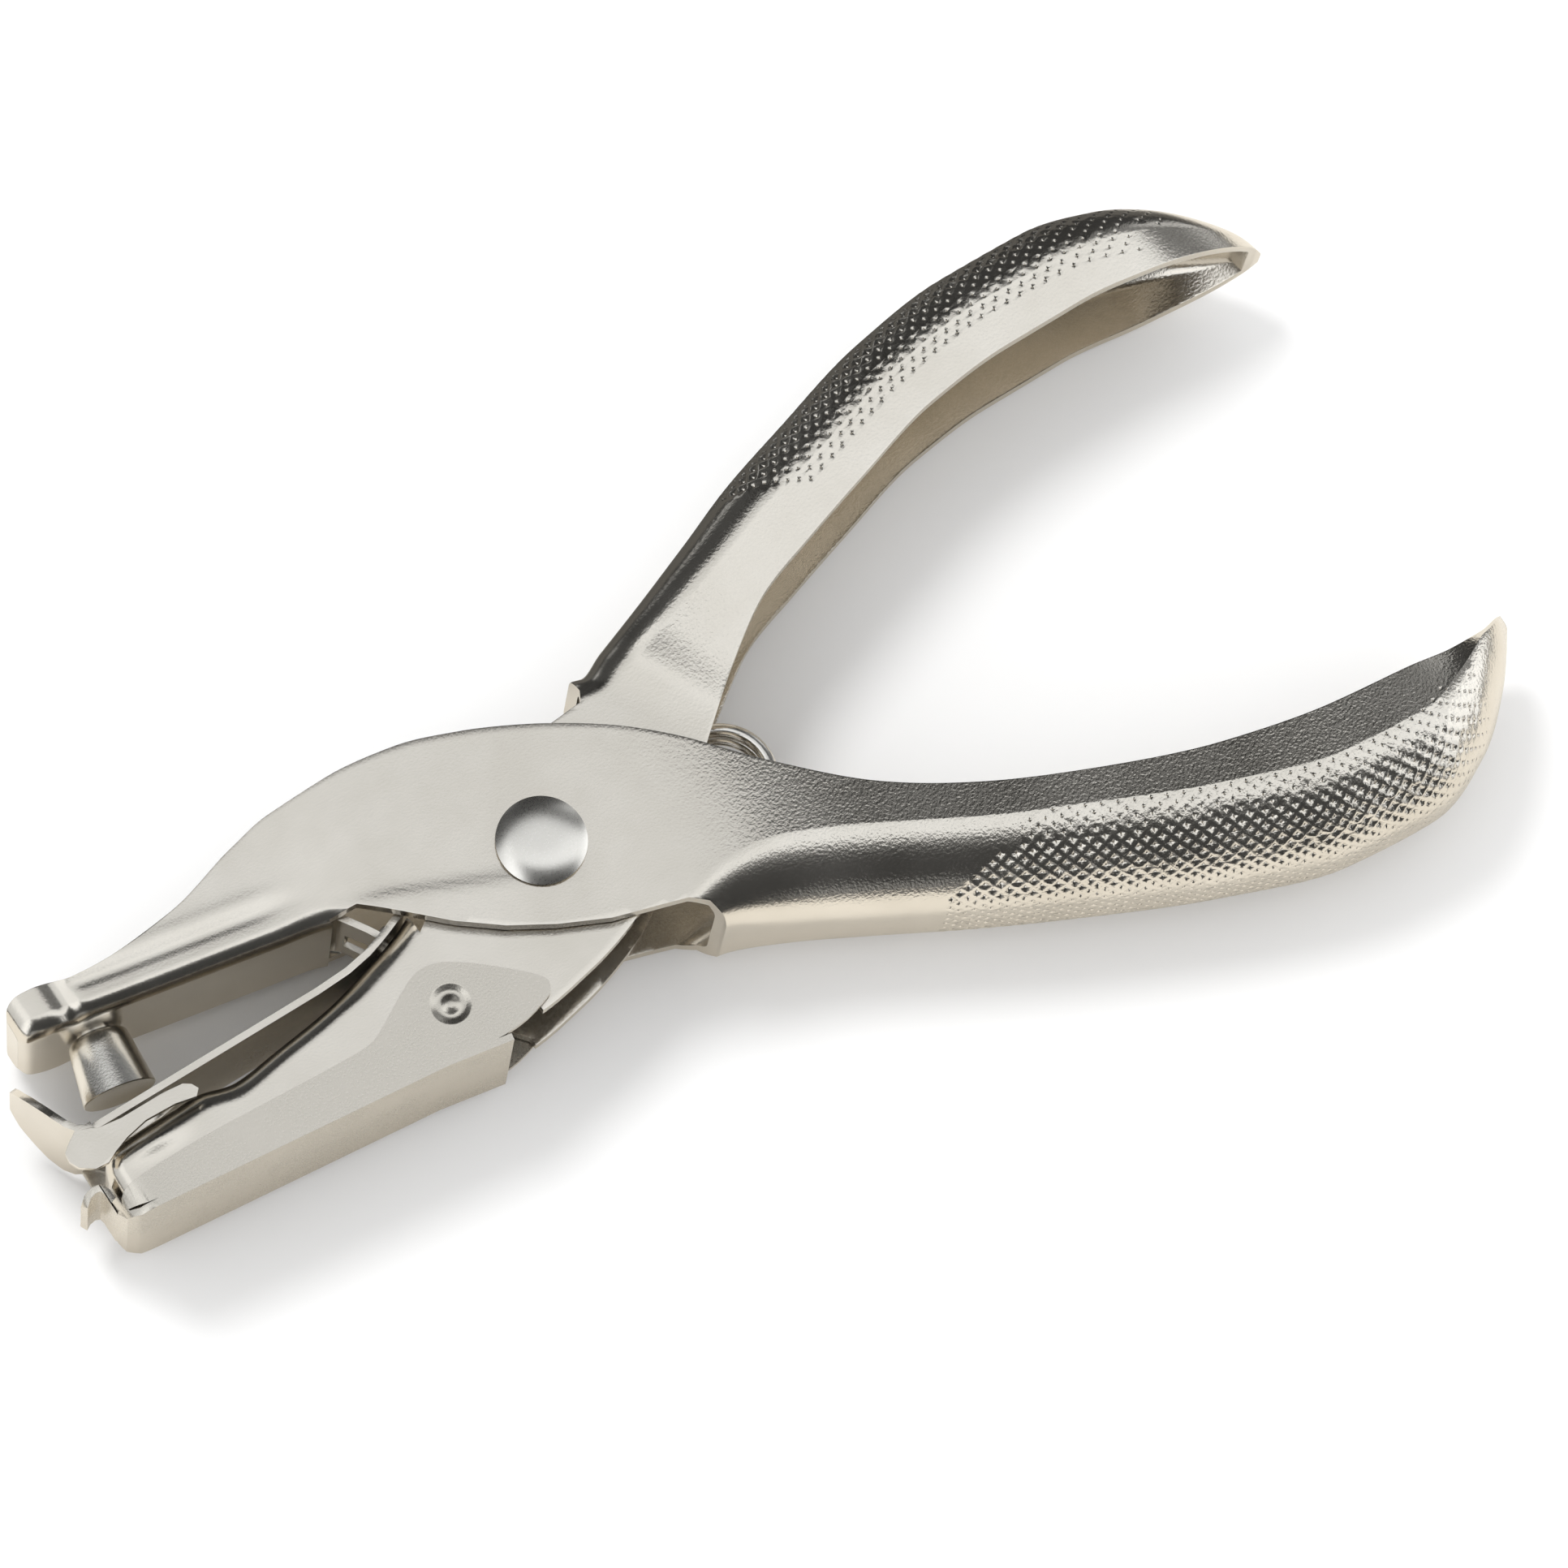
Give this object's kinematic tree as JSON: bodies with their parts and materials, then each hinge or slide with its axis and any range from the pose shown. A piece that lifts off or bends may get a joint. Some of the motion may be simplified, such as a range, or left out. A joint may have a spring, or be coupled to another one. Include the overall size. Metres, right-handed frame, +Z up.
{
  "type": "hole punch",
  "caption": "Hand-held paper punch of plated pressed steel: crossed channel levers on a rivet, a tapered punch over a die, a springy stripper strip and a hinged chip catcher.",
  "frame": {"origin": "centre of the flat land on the pivot rivet's lower head, where the punch rests on a table", "axes": "+X from the pivot towards the handles along the line of the die face, +Y towards the upper jaw and the upper handle, +Z up along the rivet"},
  "size_m": [0.1291, 0.0604, 0.0174],
  "materials": {
    "plated_sheet": "bright nickel plate over pressed steel, with a faint orange-peel texture",
    "bright_plate": "smooth bright nickel plate",
    "hardened_steel": "plain ground hardened steel"
  },
  "bodies": {
    "punch_side": {"punch_lever": "plated_sheet", "pivot_rivet": "bright_plate", "punch_pin": "hardened_steel", "pivot_spacer": "hardened_steel", "return_spring": "hardened_steel"},
    "die_side": {"die_lever": "plated_sheet", "die_bush": "hardened_steel", "stripper_rivet": "bright_plate"},
    "stripper": {"stripper_guide": "bright_plate"},
    "catcher": {"chip_catcher": "bright_plate"}
  },
  "joints": [
    {"name": "lever_pivot", "type": "hinge", "parent": "punch_side", "child": "die_side", "pos_m": [0, 0, 0.0087], "axis": [0, 0, -1], "range_deg": [0, 8.5], "stiffness_Nm_per_rad": 1.2, "springref_deg": -2.86, "deforming": ["return_spring"]},
    {"name": "catcher_hinge", "type": "hinge", "parent": "die_side", "child": "catcher", "pos_m": [-0.0136, -0.0075, 0.0087], "axis": [0, 0, 1], "range_deg": [0, 25]},
    {"name": "stripper_flex", "type": "hinge", "parent": "die_side", "child": "stripper", "pos_m": [-0.0142, 0.00085, 0.0087], "axis": [0, 0, 1], "range_deg": [0, 1.5], "stiffness_Nm_per_rad": 0.4, "springref_deg": -1.15}
  ]
}
